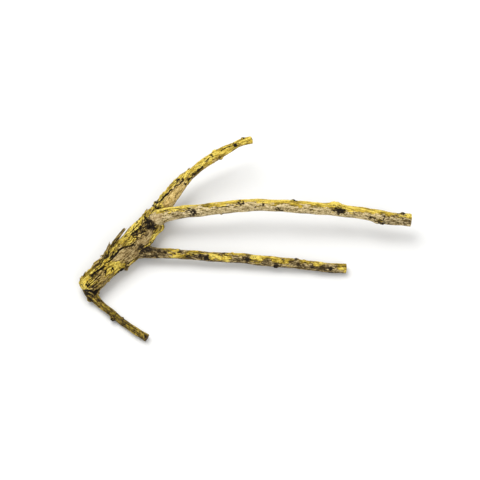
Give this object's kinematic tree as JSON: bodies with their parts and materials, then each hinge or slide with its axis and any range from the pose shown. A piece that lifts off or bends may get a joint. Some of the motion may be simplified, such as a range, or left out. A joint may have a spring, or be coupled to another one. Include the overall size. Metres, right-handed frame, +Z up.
{
  "type": "fallen tree branch",
  "caption": "Fallen deciduous branch lying flat: a thick limb with split, flaking bark, broken at both ends, whose long side branches run out from a fork.",
  "frame": {"origin": "middle of the footprint, on the ground the branch lies on", "axes": "+X from the limb's broken foot towards the tips of the long branches; +Y towards the tip of the upper branch; +Z up"},
  "size_m": [0.3961, 0.2588, 0.0493],
  "materials": {
    "limb_bark": "rough split bark, mustard lichen over grey-tan wood",
    "upper_bark": "thin bark under mustard-yellow lichen",
    "middle_bark": "thin tan bark, lichen along its upper side",
    "lower_bark": "dark olive-brown bark with lichen patches",
    "twig_bark": "olive-brown bark"
  },
  "bodies": {
    "root": {"limb": "limb_bark", "upper_branch": "upper_bark", "middle_branch": "middle_bark", "lower_branch": "lower_bark", "base_twig": "twig_bark"}
  },
  "joints": []
}
